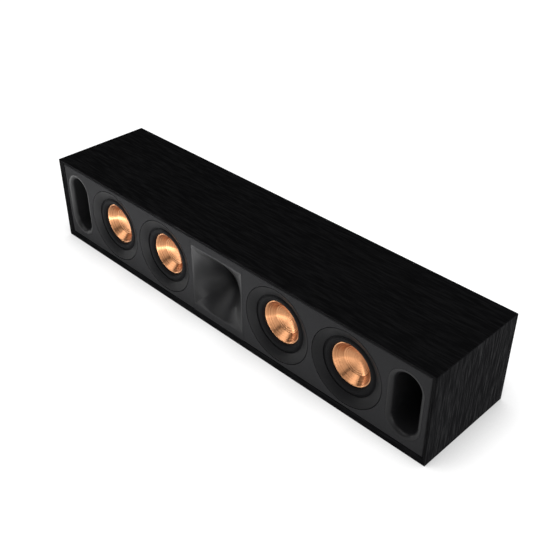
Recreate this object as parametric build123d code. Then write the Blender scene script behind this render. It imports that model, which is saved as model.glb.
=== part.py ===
from build123d import *
import os
from math import cos, hypot, radians, sin, sqrt

# A passive center channel speaker in millimetres: four small woofers, a square horn and two
# ports. X runs along the width, the front faces -Y, Z is up, and the origin is the middle of
# the underside. Every depth below is counted backwards from the cabinet's front edge.

# Cabinet
WIDTH = 660.0
HEIGHT = 125.0
DEPTH = 147.0
BOARD = 12.0             # wrapped boards of the skin, and the back panel
LIP = 6.0                # width of the bevel round the front
BEVEL_DEPTH = 3.0        # how far the bevel falls back to the baffle's face
LIP_EDGE = 0.6           # flat left on the front edge
CORNER = 0.8             # round on the long outer corners
BAFFLE = 18.0
BAFFLE_GAP = 0.7         # shadow gap between bevel and baffle
BAFFLE_CHAMFER = 0.8
PANEL_GAP = 0.2
BRACE = 12.0
BRACE_FRAME = 25.0       # wood left round the window of a brace
BRACE_CORNER = 12.0

# Woofers
RING_RADIUS = 51.0
RING_TO_HORN = 6.3       # baffle left between the horn plate and the inner ring
RING_TO_RING = 6.0       # baffle left between neighbouring rings
RING_BORE = 38.8
RING_REBATE = 5.0        # depth of the trim ring's seat below the baffle's face
RING_FOOT = 3.0          # width of the ring's bearing face
RING_WALL = 1.8
RING_GAP = 0.4           # dark line round the trim ring
FLANGE_RADIUS = 46.0
FLANGE_REBATE = 4.5      # depth of the basket's seat below the ring's seat
FLANGE = 2.0
BASKET_BORE = 38.0
BASKET_WALL = 2.0
BASKET_NECK = 29.0       # inner radius behind the spider
BASKET_LENGTH = 25.5     # from the flange's back to the motor
LEG_WINDOW = 32.0
TAB = (10.0, 9.0, 1.5)   # terminal tab: width, reach, thickness
TAB_INSET = 1.5          # from the tab's back to the motor
RUBBER = 0.7
LAND = 3.0               # glued width of the surround's outer edge
ROLL_HEIGHT = 3.4
CONE_RADIUS = 28.3
CONE_RIM = 1.1
CONE_WALL = 0.5
RIM_SINK = 2.8           # how far the cone's rim lies behind the flange's face
CONE_DEPTH = 16.6
CAP_RADIUS = 19.0
CAP_HOLLOW = 5.4
COIL_RADIUS = 12.6       # inside of the voice coil former
FORMER = 0.4
FORMER_LAP = 1.0         # length of the former inside the cone
WINDING = 0.7
WINDING_LENGTH = 8.5
COIL_GAP = 0.5           # air either side of the coil in the motor
SPIDER = 0.5
SPIDER_SHELF = 4.6       # width of the shelf that the spider is glued to
SPIDER_DROP = 2.0        # from the cone's neck back to the shelf
SPIDER_WAVES = 3
SPIDER_WAVE = 0.8
PLATE = 5.0
PLATE_RADIUS = 30.0
MAGNET = 12.0
MAGNET_RADIUS = 33.0
MAGNET_BORE = 17.0
EXCURSION = 3.0          # travel of a woofer cone each way

# Ports
PORT_HEIGHT = 93.6
PORT_TO_RING = 6.65      # baffle left between the outer ring and the port
PORT_TO_SIDE = 12.65     # from the port's rim to the cabinet's side
PORT_FLARE = 6.2         # radius of the flared lip
PORT_FLANGE = 4.0
PORT_WALL = 2.5
PORT_LENGTH = 82.0
PORT_GAP = 0.3

# Horn and tweeter
HORN_PLATE = 94.2
HORN_FLANGE = 4.0
HORN_GAP = 0.2           # fine seam at the plate's sides
HORN_MOUTH = 44.0        # half the side of the square mouth
HORN_LENGTH = 40.0
HORN_WALL = 2.5
THROAT = 12.5
HORN_STATIONS = 9
HORN_CURL = 1.4          # how fast the flare opens near the mouth
HORN_BOW = 8.0           # how fast the four sides bow from straight into a circle
SQUAREST = 0.98          # share of a square at the mouth, where the sides still bow a little
HORN_SEAT = 5.0          # collar behind the throat that the tweeter sits on
TWEETER_RADIUS = 36.0
TWEETER_PLATE = 3.0
TWEETER_MAGNET = 8.0
TWEETER_MAGNET_RADIUS = 30.0
DOME_RISE = 4.0
DOME_WALL = 0.4
SUSPENSION = 3.0
TWEETER_TRAVEL = 0.3

# Terminals and crossover
CUP = (66.0, 52.0)
CUP_FLANGE = 13.0        # width of the flange round the cup
CUP_PLATE = 3.0
CUP_WALL = 2.5
CUP_DEPTH = 26.0
CUP_CORNER = 6.0
BOSS = 8.0
BOSS_RADIUS = 4.0
POST_PITCH = 19.0
STUD_RADIUS = 3.0
TAIL_RADIUS = 2.0
SOCKET_RADIUS = 2.0      # banana plug socket
SOCKET_DEPTH = 14.0
STUD_LENGTH = 18.0
COLLAR = 2.0
COLLAR_RADIUS = 6.2
KNOB_RADIUS = 6.5
KNOB_LENGTH = 18.0
KNOB_END = 1.8
KNOB_SKIRT = 2.0         # plain band below the flutes
KNOB_FLUTES = 14
FLUTE_RADIUS = 0.8
INSERT_WALL = 1.5
INSERT_LENGTH = 8.0
THREAD_FIT = 0.08
INSERT_FIT = 0.05
NUT = 3.0
NUT_FLATS = 7.0
BOARD_SIZE = (100.0, 80.0)
BOARD_THICKNESS = 1.6
COIL_SIZES = ((-30.0, -16.0, 14.0, 16.0), (30.0, -16.0, 13.0, 14.0), (0.0, -25.0, 10.0, 12.0))
CAP_SIZES = ((-36.0, 12.0, 8.0, 30.0), (36.0, 12.0, 7.0, 25.0), (22.0, 16.0, 5.0, 20.0))
CAN_ROUND = 0.9
COIL_HOLE = 0.45         # share of an inductor's radius that is open
LEAD_RADIUS = 1.5
LEAD_BEND = 7.0

# Fasteners and clearances
SCREW_RADIUS = 1.7
SCREW_HEAD = 3.4
SCREW_LENGTH = 10.0
SCREW_FIT = 0.15
DRIVE = (4.2, 0.8, 1.0)  # cross recess: length, width, depth
CLEAR = 0.3
HOLE_CLEAR = 1.0

AXIS_Z = HEIGHT / 2
FACE = BEVEL_DEPTH
BAFFLE_BACK = FACE + BAFFLE
PANEL_FRONT = DEPTH - BOARD
RING_SEAT = FACE + RING_REBATE
FLANGE_SEAT = RING_SEAT + FLANGE_REBATE
FLANGE_FRONT = FLANGE_SEAT - FLANGE
LAND_FRONT = FLANGE_FRONT - RUBBER
RIM_BACK = FLANGE_FRONT + RIM_SINK
RIM_FRONT = RIM_BACK - CONE_WALL
NECK = RIM_FRONT + CONE_DEPTH
COIL_OUTSIDE = COIL_RADIUS + FORMER
MOTOR = FLANGE_SEAT + BASKET_LENGTH
SHELF = NECK + SPIDER_DROP
YOKE = MOTOR + PLATE + MAGNET
COIL_END = MOTOR + PLATE + EXCURSION
POLE_RADIUS = COIL_RADIUS - COIL_GAP
PLATE_BORE = COIL_OUTSIDE + WINDING + COIL_GAP
BASKET_OUTSIDE = BASKET_BORE + BASKET_WALL
SCREW_CIRCLE = (BASKET_OUTSIDE + FLANGE_RADIUS) / 2
TAB_BACK = MOTOR - TAB_INSET
THROAT_DEPTH = FACE + HORN_LENGTH
TWEETER = THROAT_DEPTH + HORN_SEAT
TWEETER_YOKE = TWEETER + TWEETER_PLATE + TWEETER_MAGNET
CUP_FLOOR = DEPTH - CUP_DEPTH
CUP_BACK = CUP_FLOOR - CUP_PLATE
CIRCUIT_BACK = CUP_BACK - BOSS
CIRCUIT_FRONT = CIRCUIT_BACK - BOARD_THICKNESS
KNOB_BASE = CUP_FLOOR + COLLAR + CLEAR
INSERT_BORE = STUD_RADIUS + THREAD_FIT
INSERT_RADIUS = INSERT_BORE + INSERT_WALL
INNER_WOOFER_X = HORN_PLATE / 2 + RING_TO_HORN + RING_RADIUS
WOOFER_PITCH = 2 * RING_RADIUS + RING_TO_RING
OUTER_WOOFER_X = INNER_WOOFER_X + WOOFER_PITCH
WOOFER_X = [-OUTER_WOOFER_X, -INNER_WOOFER_X, INNER_WOOFER_X, OUTER_WOOFER_X]
BRACE_X = INNER_WOOFER_X + WOOFER_PITCH / 2
PORT_START = OUTER_WOOFER_X + RING_RADIUS + PORT_TO_RING
PORT_WIDTH = WIDTH / 2 - PORT_TO_SIDE - PORT_START
PORT_RIM = (PORT_WIDTH, PORT_HEIGHT)
PORT_X = PORT_START + PORT_WIDTH / 2


def at_depth(depth):
    """Y of a depth behind the front edge."""
    return depth - DEPTH / 2


def plane_at(depth):
    """Plane parallel to the front, with local x along X and local y along Z."""
    return Plane.XZ.offset(-at_depth(depth))


def slab(sketch, front, back):
    """A front-parallel outline carried from one depth to another."""
    return extrude(plane_at(front) * sketch, amount=front - back)


def turned(points):
    """A closed section of (radius, depth) points turned about the Y axis."""
    return revolve(make_face(Polyline(*[(r, at_depth(d)) for r, d in points], close=True)), Axis.Y)


def turned_curve(*runs):
    """A closed section of runs, three-point arcs given as ("arc", a, b, c), turned about Y."""
    edges = Curve()
    for run in runs:
        bent = run[0] == "arc"
        points = [(r, at_depth(d)) for r, d in (run[1:] if bent else run)]
        edges += ThreePointArc(*points) if bent else Polyline(*points)
    return revolve(make_face(edges), Axis.Y)


def bulge(start, end, height):
    """Middle point of an arc that stands forward of the chord from start to end."""
    across, along = end[0] - start[0], end[1] - start[1]
    length = hypot(across, along)
    return (
        (start[0] + end[0]) / 2 - height * along / length,
        (start[1] + end[1]) / 2 + height * across / length,
    )


def obround(width, height):
    return Rotation(0, 0, 90) * SlotOverall(height, width)


def around(radius, count, start):
    """Places (x, z) spread evenly on a circle."""
    angles = [radians(start + 360 * i / count) for i in range(count)]
    return [(radius * cos(a), radius * sin(a)) for a in angles]


def screw(depth, facing, fit=0.0):
    """Countersunk wood screw along Y with its head flush at a depth, facing -1 front or 1 back."""
    head = SCREW_HEAD - SCREW_RADIUS
    tip = SCREW_LENGTH - SCREW_RADIUS
    outline = [
        (0, 0),
        (SCREW_HEAD + fit, 0),
        (SCREW_RADIUS + fit, head),
        (SCREW_RADIUS + fit, tip),
        (0, SCREW_LENGTH + fit),
    ]
    body = turned([(r, depth - facing * d) for r, d in outline])
    if fit:
        return body
    length, width, sunk = DRIVE
    cross = Rectangle(length, width) + Rectangle(width, length)
    return body - slab(cross, depth, depth - facing * sunk)


def skin_boards():
    """Mitred boards of the wrapped skin: a bevelled tube cut along its corner diagonals."""
    outer = Pos(0, AXIS_Z) * RectangleRounded(WIDTH, HEIGHT, CORNER)
    tube = slab(outer, 0, DEPTH)
    tube -= slab(Pos(0, AXIS_Z) * Rectangle(WIDTH - 2 * BOARD, HEIGHT - 2 * BOARD), 0, DEPTH)
    tube -= slab(Pos(0, AXIS_Z) * Rectangle(WIDTH - 2 * LIP, HEIGHT - 2 * LIP), 0, BAFFLE_BACK)
    bevel = [
        plane_at(depth) * Pos(0, AXIS_Z) * Rectangle(WIDTH - 2 * inset, HEIGHT - 2 * inset)
        for depth, inset in ((0, LIP_EDGE), (BEVEL_DEPTH, LIP))
    ]
    tube -= loft(bevel, ruled=True)
    half, mid = WIDTH / 2, WIDTH / 2 - AXIS_Z
    wedges = {
        "top_panel": [(-half, HEIGHT), (half, HEIGHT), (mid, AXIS_Z), (-mid, AXIS_Z)],
        "bottom_panel": [(-half, 0), (half, 0), (mid, AXIS_Z), (-mid, AXIS_Z)],
        "left_panel": [(-half, 0), (-half, HEIGHT), (-mid, AXIS_Z)],
        "right_panel": [(half, 0), (half, HEIGHT), (mid, AXIS_Z)],
    }
    return {
        name: tube & slab(make_face(Polyline(*points, close=True)), 0, DEPTH)
        for name, points in wedges.items()
    }


def front_baffle():
    """Board behind the bevel with seats for rings, baskets, horn plate and ports."""
    wide, tall = WIDTH - 2 * (LIP + BAFFLE_GAP), HEIGHT - 2 * (LIP + BAFFLE_GAP)
    board = slab(Pos(0, AXIS_Z) * Rectangle(wide, tall), FACE, BAFFLE_BACK)
    board = chamfer(board.faces().sort_by(Axis.Y)[0].edges(), BAFFLE_CHAMFER)
    seats = (
        (RING_RADIUS + RING_GAP, FACE, RING_SEAT),
        (FLANGE_RADIUS + CLEAR, RING_SEAT, FLANGE_SEAT),
        (BASKET_OUTSIDE + HOLE_CLEAR, FLANGE_SEAT, BAFFLE_BACK),
    )
    for x in WOOFER_X:
        for radius, front, back in seats:
            board -= slab(Pos(x, AXIS_Z) * Circle(radius), front, back)
        for dx, dz in around(SCREW_CIRCLE, 4, 45):
            board -= Pos(x + dx, 0, AXIS_Z + dz) * screw(FLANGE_FRONT, -1, SCREW_FIT)
    plate = Rectangle(HORN_PLATE + 2 * HORN_GAP, HEIGHT)
    board -= slab(Pos(0, AXIS_Z) * plate, FACE, FACE + HORN_FLANGE)
    bell = horn_half(FACE + HORN_FLANGE) + HORN_WALL + HOLE_CLEAR
    board -= slab(Pos(0, AXIS_Z) * Rectangle(2 * bell, 2 * bell), FACE, BAFFLE_BACK)
    for x in (-PORT_X, PORT_X):
        rim = [size + 2 * PORT_GAP for size in PORT_RIM]
        duct = [size + 2 * (PORT_WALL + PORT_GAP) for size in port_throat()]
        board -= slab(Pos(x, AXIS_Z) * obround(*rim), FACE, FACE + PORT_FLANGE)
        board -= slab(Pos(x, AXIS_Z) * obround(*duct), FACE, BAFFLE_BACK)
    return board


def back_panel():
    """Plain board between the skin's boards, with the seat of the terminal cup."""
    wide, tall = WIDTH - 2 * (BOARD + PANEL_GAP), HEIGHT - 2 * (BOARD + PANEL_GAP)
    board = slab(Pos(0, AXIS_Z) * Rectangle(wide, tall), PANEL_FRONT, DEPTH)
    seat = [size + 2 * (CUP_FLANGE + CLEAR) for size in CUP]
    hole = [size + 2 * CLEAR for size in CUP]
    board -= slab(Pos(0, AXIS_Z) * RectangleRounded(*seat, CUP_CORNER), DEPTH - CUP_PLATE, DEPTH)
    board -= slab(Pos(0, AXIS_Z) * RectangleRounded(*hole, CUP_CORNER), PANEL_FRONT, DEPTH)
    for x, z in cup_screws():
        board -= Pos(x, 0, z) * screw(DEPTH, 1, SCREW_FIT)
    return board


def braces():
    """Two upright boards with a window, between the woofers of each side."""
    tall, long = HEIGHT - 2 * BOARD, PANEL_FRONT - BAFFLE_BACK
    board = Rectangle(long, tall)
    board -= RectangleRounded(long - 2 * BRACE_FRAME, tall - 2 * BRACE_FRAME, BRACE_CORNER)
    middle = at_depth((BAFFLE_BACK + PANEL_FRONT) / 2)
    brace = Pos(-BRACE / 2, middle, AXIS_Z) * extrude(Plane.YZ * board, amount=BRACE)
    return [Pos(x, 0, 0) * brace for x in (-BRACE_X, BRACE_X)]


def port_throat():
    return [size - 2 * PORT_FLARE for size in PORT_RIM]


def port():
    """Moulded duct with a flared obround lip, flush with the baffle."""
    throat = port_throat()
    tube = slab(obround(*PORT_RIM), FACE, FACE + PORT_FLANGE)
    tube += slab(obround(*[size + 2 * PORT_WALL for size in throat]), FACE, FACE + PORT_LENGTH)
    tube -= slab(obround(*throat), FACE, FACE + PORT_LENGTH)
    lip = tube.faces().sort_by(Axis.Y)[0].inner_wires()[0].edges()
    return Pos(0, 0, AXIS_Z) * fillet(lip, PORT_FLARE - CLEAR)


def trim_ring():
    """Funnel shaped ring that hides the basket's flange and its screws."""
    lip = LAND_FRONT - CLEAR
    hollow = RING_RADIUS - RING_FOOT
    edge = (RING_RADIUS - CLEAR, FACE)
    inner = (RING_BORE, lip - RING_WALL / 2)
    crown = bulge(edge, inner, CLEAR)
    return turned_curve(
        ("arc", edge, crown, inner),
        [
            inner,
            (RING_BORE, lip),
            (RING_BORE + RING_WALL, lip),
            (hollow, FACE + RING_WALL + CLEAR),
            (hollow, RING_SEAT),
            (RING_RADIUS, RING_SEAT),
            (RING_RADIUS, FACE + CLEAR),
            edge,
        ],
    )


def basket():
    """Stamped frame: flange, conical legs with four windows, spider shelf and motor seat."""
    neck = BASKET_NECK + BASKET_WALL
    shelf_bore = BASKET_NECK - SPIDER_SHELF
    step = FLANGE_SEAT + BASKET_WALL
    frame = turned(
        [
            (FLANGE_RADIUS, FLANGE_FRONT),
            (FLANGE_RADIUS, FLANGE_SEAT),
            (BASKET_OUTSIDE, FLANGE_SEAT),
            (BASKET_OUTSIDE, step),
            (neck, SHELF + BASKET_WALL),
            (neck, MOTOR),
            (PLATE_BORE + CLEAR, MOTOR),
            (PLATE_BORE + CLEAR, MOTOR - BASKET_WALL),
            (BASKET_NECK, MOTOR - BASKET_WALL),
            (BASKET_NECK, SHELF + BASKET_WALL / 2),
            (shelf_bore, SHELF + BASKET_WALL / 2),
            (shelf_bore, SHELF),
            (BASKET_NECK, SHELF),
            (BASKET_BORE, step),
            (BASKET_BORE, FLANGE_FRONT),
        ]
    )
    reach = 2 * BASKET_OUTSIDE
    long = SHELF - step - BASKET_WALL
    middle = at_depth((SHELF + step) / 2)
    for turn in (0, 90):
        frame -= Rot(0, turn, 0) * Pos(0, middle, 0) * Box(reach, long, LEG_WINDOW)
    wide, out, thick = TAB
    tab = Pos(0, BASKET_NECK + BASKET_WALL / 2 + out / 2) * Rectangle(wide, out)
    frame += slab(tab, TAB_BACK - thick, TAB_BACK)
    for x, z in around(SCREW_CIRCLE, 4, 45):
        frame -= Pos(x, 0, z) * screw(FLANGE_FRONT, -1, SCREW_FIT)
    return frame


def surround():
    """Rubber half roll from the flange down to the back of the cone's rim."""
    outer = BASKET_BORE - RUBBER
    inner = CONE_RADIUS + 2 * CLEAR
    start, end = (outer, LAND_FRONT), (inner, RIM_BACK)
    under, over = (inner + RUBBER, RIM_BACK + RUBBER), (outer - RUBBER, FLANGE_FRONT)
    foot = CONE_RADIUS - CONE_RIM + CLEAR / 2
    edge = BASKET_BORE + LAND - RUBBER
    return turned_curve(
        [(edge, FLANGE_FRONT), (edge, LAND_FRONT), start],
        ("arc", start, bulge(start, end, ROLL_HEIGHT), end),
        [end, (foot, RIM_BACK), (foot, RIM_BACK + RUBBER), under],
        ("arc", under, bulge(over, under, ROLL_HEIGHT), over),
        [over, (edge, FLANGE_FRONT)],
    )


def cone():
    """Thin cone with a flat rim and a short neck round the voice coil former."""
    neck = COIL_OUTSIDE + CLEAR
    rim = CONE_RADIUS - CONE_RIM
    return turned(
        [
            (CONE_RADIUS, RIM_FRONT),
            (rim, RIM_FRONT),
            (neck, NECK),
            (neck, NECK + 2 * CONE_WALL),
            (neck + CONE_WALL, NECK + 2 * CONE_WALL),
            (neck + CONE_WALL, NECK + CONE_WALL),
            (rim, RIM_BACK),
            (CONE_RADIUS, RIM_BACK),
        ]
    )


def dust_cap():
    """Concave cap whose edge stands on the cone's wall."""
    rim = CONE_RADIUS - CONE_RIM
    slope = CONE_DEPTH / (rim - COIL_OUTSIDE - CLEAR)
    seat = RIM_FRONT + (rim - CAP_RADIUS) * slope - CLEAR
    edge = seat - CONE_WALL
    sphere = (CAP_RADIUS**2 + CAP_HOLLOW**2) / (2 * CAP_HOLLOW)
    half = CAP_RADIUS / 2
    rise = sphere - sqrt(sphere**2 - half**2)
    front, back = edge + CAP_HOLLOW, seat + CAP_HOLLOW
    return turned_curve(
        [(CAP_RADIUS, seat), (CAP_RADIUS, edge)],
        ("arc", (CAP_RADIUS, edge), (half, front - rise), (0, front)),
        [(0, front), (0, back)],
        ("arc", (0, back), (half, back - rise), (CAP_RADIUS, seat)),
    )


def coil(inside, outside, winding, front, wound, end):
    """Former tube with its winding on the end that works in the magnet's gap."""
    return turned(
        [
            (inside, front),
            (outside, front),
            (outside, wound),
            (outside + winding, wound),
            (outside + winding, end),
            (inside, end),
        ]
    )


def spider():
    """Corrugated cloth disc between the former and the basket's shelf."""
    inner = COIL_OUTSIDE + CLEAR
    outer = BASKET_NECK - 4 * CLEAR
    shelf = BASKET_NECK - SPIDER_SHELF
    wave = (shelf - inner - 2) / (2 * SPIDER_WAVES)
    top = [(inner, SHELF - SPIDER)]
    for i in range(2 * SPIDER_WAVES + 1):
        lift = SPIDER_WAVE if i % 2 else 0
        top.append((inner + 1 + i * wave, SHELF - SPIDER - lift))
    top.append((outer, SHELF - SPIDER))
    return turned(top + [(r, d + SPIDER) for r, d in reversed(top)])


def washer(outside, bore, front, back):
    return turned([(bore, front), (outside, front), (outside, back), (bore, back)])


def yoke(radius, pole, tip, plate, thickness):
    """Back plate with the pole piece that fills the voice coil."""
    back = plate + thickness
    return turned([(0, tip), (pole, tip), (pole, plate), (radius, plate), (radius, back), (0, back)])


def woofer_pieces():
    """Every piece of one woofer about the Y axis, by name."""
    wound = COIL_END - WINDING_LENGTH
    return {
        "trim_ring": trim_ring(),
        "basket": basket(),
        "surround": surround(),
        "cone": cone(),
        "dust_cap": dust_cap(),
        "voice_coil": coil(COIL_RADIUS, COIL_OUTSIDE, WINDING, NECK - FORMER_LAP, wound, COIL_END),
        "spider": spider(),
    }


def motor_pieces():
    """Magnet and steel of one woofer about the Y axis, by name."""
    return {
        "woofer_top_plates": washer(PLATE_RADIUS, PLATE_BORE, MOTOR, MOTOR + PLATE),
        "woofer_magnets": washer(MAGNET_RADIUS, MAGNET_BORE, MOTOR + PLATE, YOKE),
        "woofer_yokes": yoke(PLATE_RADIUS, POLE_RADIUS, MOTOR, YOKE, PLATE),
    }


def horn_run(depth):
    """Share of the way from the horn's mouth to its throat."""
    return min(max((depth - FACE) / HORN_LENGTH, 0), 1)


def horn_half(depth):
    """Half the width of the horn's section at a depth: a flare that opens fast near the mouth."""
    return THROAT + (HORN_MOUTH - THROAT) * (1 - horn_run(depth)) ** HORN_CURL


def horn_section(depth, wall):
    """Four bowed sides that meet in creases: all but square at the mouth, a circle at the throat."""
    half = horn_half(depth) + wall
    square = SQUAREST * (1 - horn_run(depth - wall)) ** HORN_BOW
    corner = half * (square + (1 - square) / sqrt(2))
    corners = [(corner, corner), (-corner, corner), (-corner, -corner), (corner, -corner)]
    middles = [(0, half), (-half, 0), (0, -half), (half, 0)]
    ends = corners[1:] + corners[:1]
    sides = [ThreePointArc(*side) for side in zip(corners, middles, ends)]
    return plane_at(depth) * Pos(0, AXIS_Z) * make_face(sides)


def horn_flare(wall, front, back):
    """Flare from the mouth to the throat, grown by a wall; its sections crowd towards the mouth."""
    steps = [(i / (HORN_STATIONS - 1)) ** 2 for i in range(HORN_STATIONS)]
    return loft([horn_section(front + (back - front) * step, wall) for step in steps])


def horn():
    """Plate and bell in one moulding, with the collar that takes the tweeter."""
    plate = Rectangle(HORN_PLATE, HEIGHT - 2 * (LIP + BAFFLE_GAP))
    body = slab(Pos(0, AXIS_Z) * plate, FACE, FACE + HORN_FLANGE)
    body += horn_flare(HORN_WALL, FACE + HORN_FLANGE / 2, THROAT_DEPTH)
    body += slab(Pos(0, AXIS_Z) * Circle(TWEETER_RADIUS), THROAT_DEPTH - HORN_WALL / 2, TWEETER)
    body -= horn_flare(0, FACE, THROAT_DEPTH)
    body -= slab(Pos(0, AXIS_Z) * Circle(THROAT), THROAT_DEPTH, TWEETER)
    pocket = Circle(THROAT + 2 * SUSPENSION + CLEAR)
    return body - slab(Pos(0, AXIS_Z) * pocket, TWEETER - HORN_SEAT / 2, TWEETER)


def tweeter_pieces():
    """Every piece of the tweeter behind the horn, about the Y axis, by name."""
    former = THROAT - CLEAR
    bore = former + FORMER + WINDING + COIL_GAP
    base = TWEETER - 2 * DOME_WALL
    edge = base + DOME_WALL
    sphere = (THROAT**2 + DOME_RISE**2) / (2 * DOME_RISE)
    half = THROAT / 2
    rise = DOME_RISE - (sphere - sqrt(sphere**2 - half**2))
    crown = base - DOME_RISE
    inside = crown + DOME_WALL
    dome = turned_curve(
        [(0, inside), (0, crown)],
        ("arc", (0, crown), (half, base - rise), (THROAT, base)),
        [(THROAT, base), (THROAT, edge)],
        ("arc", (THROAT, edge), (half, edge - rise), (0, inside)),
    )
    start, end = THROAT + CLEAR, THROAT + SUSPENSION
    middle = (start + end) / 2
    roll = turned_curve(
        [(start, edge), (start, base)],
        ("arc", (start, base), (middle, base - SUSPENSION / 4), (end, base)),
        [(end, base), (end + SUSPENSION, base), (end + SUSPENSION, TWEETER), (end, TWEETER)],
        ("arc", (end, TWEETER), (middle, TWEETER - SUSPENSION / 4), (start + DOME_WALL, edge)),
        [(start + DOME_WALL, edge), (start, edge)],
    )
    coil_end = TWEETER + TWEETER_PLATE + TWEETER_TRAVEL
    pole = former - COIL_GAP
    magnet = TWEETER + TWEETER_PLATE
    return {
        "tweeter_dome": dome,
        "tweeter_suspension": roll,
        "tweeter_voice_coil": coil(former, former + FORMER, WINDING, edge, TWEETER, coil_end),
        "tweeter_top_plate": washer(TWEETER_RADIUS, bore, TWEETER, magnet),
        "tweeter_magnet": washer(TWEETER_MAGNET_RADIUS, MAGNET_BORE, magnet, TWEETER_YOKE),
        "tweeter_yoke": yoke(TWEETER_MAGNET_RADIUS, pole, TWEETER, TWEETER_YOKE, TWEETER_PLATE),
    }


def cup_screws():
    """Places (x, z) of the terminal cup's four screws."""
    x, z = [size / 2 + CUP_FLANGE / 2 for size in CUP]
    return [(sx * x, AXIS_Z + sz * z) for sx in (-1, 1) for sz in (-1, 1)]


def boss_places():
    x, z = [size / 2 - CUP_WALL - 2 * BOSS_RADIUS for size in CUP]
    return [(sx * x, AXIS_Z + sz * z) for sx in (-1, 1) for sz in (-1, 1)]


def post_places():
    return [(side * POST_PITCH / 2, AXIS_Z) for side in (-1, 1)]


def terminal_cup():
    """Moulded cup sunk in the back, with bosses behind it for the circuit board."""
    rim = [size + 2 * CUP_FLANGE for size in CUP]
    inside = [size - 2 * CUP_WALL for size in CUP]
    middle = Pos(0, AXIS_Z)
    cup = slab(middle * RectangleRounded(*rim, CUP_CORNER), DEPTH - CUP_PLATE, DEPTH)
    cup += slab(middle * RectangleRounded(*CUP, CUP_CORNER), CUP_BACK, DEPTH)
    cup -= slab(middle * RectangleRounded(*inside, CUP_CORNER - CUP_WALL), CUP_FLOOR, DEPTH)
    for x, z in boss_places():
        cup += slab(Pos(x, z) * Circle(BOSS_RADIUS), CIRCUIT_BACK, CUP_BACK)
    for x, z in post_places():
        cup -= slab(Pos(x, z) * Circle(TAIL_RADIUS + SCREW_FIT), CUP_BACK, CUP_FLOOR)
    for x, z in cup_screws():
        cup -= Pos(x, 0, z) * screw(DEPTH, 1, SCREW_FIT)
    return cup


def binding_post():
    """Brass stud with a plug socket, a collar and a tail through the circuit board."""
    tail = CIRCUIT_FRONT - NUT - HOLE_CLEAR
    end = CUP_FLOOR + STUD_LENGTH
    return turned(
        [
            (0, tail),
            (TAIL_RADIUS, tail),
            (TAIL_RADIUS, CUP_FLOOR),
            (COLLAR_RADIUS, CUP_FLOOR),
            (COLLAR_RADIUS, CUP_FLOOR + COLLAR),
            (STUD_RADIUS, CUP_FLOOR + COLLAR),
            (STUD_RADIUS, end),
            (SOCKET_RADIUS, end),
            (SOCKET_RADIUS, end - SOCKET_DEPTH),
            (0, end - SOCKET_DEPTH),
        ]
    )


def post_knob():
    """Fluted knob, hollow for its threaded insert, with a hole for a plug in its end."""
    end = KNOB_BASE + KNOB_LENGTH
    bore = INSERT_RADIUS + INSERT_FIT
    knob = turned(
        [
            (bore, KNOB_BASE),
            (KNOB_RADIUS, KNOB_BASE),
            (KNOB_RADIUS, end - CLEAR),
            (KNOB_RADIUS - CLEAR, end),
            (SOCKET_RADIUS + 2 * CLEAR, end),
            (SOCKET_RADIUS + 2 * CLEAR, end - KNOB_END),
            (bore, end - KNOB_END),
        ]
    )
    for x, z in around(KNOB_RADIUS + FLUTE_RADIUS / 4, KNOB_FLUTES, 0):
        knob -= slab(Pos(x, z) * Circle(FLUTE_RADIUS), KNOB_BASE + KNOB_SKIRT, end)
    return knob


def post_nut(front):
    hexagon = RegularPolygon(NUT_FLATS / 2, 6, major_radius=False) - Circle(TAIL_RADIUS + THREAD_FIT)
    return slab(hexagon, front, front + NUT)


def circuit_board():
    board = slab(Pos(0, AXIS_Z) * Rectangle(*BOARD_SIZE), CIRCUIT_FRONT, CIRCUIT_BACK)
    for x, z in post_places():
        board -= slab(Pos(x, z) * Circle(TAIL_RADIUS + SCREW_FIT), CIRCUIT_FRONT, CIRCUIT_BACK)
    return board


def on_board(x, z, shape):
    return Pos(x, 0, AXIS_Z + z) * shape


def inductors():
    """Copper coils standing on the circuit board."""
    return [
        on_board(x, z, washer(radius, radius * COIL_HOLE, CIRCUIT_FRONT - tall, CIRCUIT_FRONT))
        for x, z, radius, tall in COIL_SIZES
    ]


def capacitors():
    """Upright cans standing on the circuit board, with a rounded far edge."""
    cans = []
    for x, z, radius, tall in CAP_SIZES:
        can = slab(Circle(radius), CIRCUIT_FRONT - tall, CIRCUIT_FRONT)
        can = fillet(can.faces().sort_by(Axis.Y)[0].edges(), CAN_ROUND)
        cans.append(on_board(x, z, can))
    return cans


def lead(points):
    """Round wire along straight runs joined by tangent arcs, from (x, depth, z) points."""
    path = FilletPolyline(*[(x, at_depth(d), z) for x, d, z in points], radius=LEAD_BEND)
    start = Plane(origin=path @ 0, z_dir=path % 0)
    return sweep(start * Circle(LEAD_RADIUS), path=path)


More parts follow.
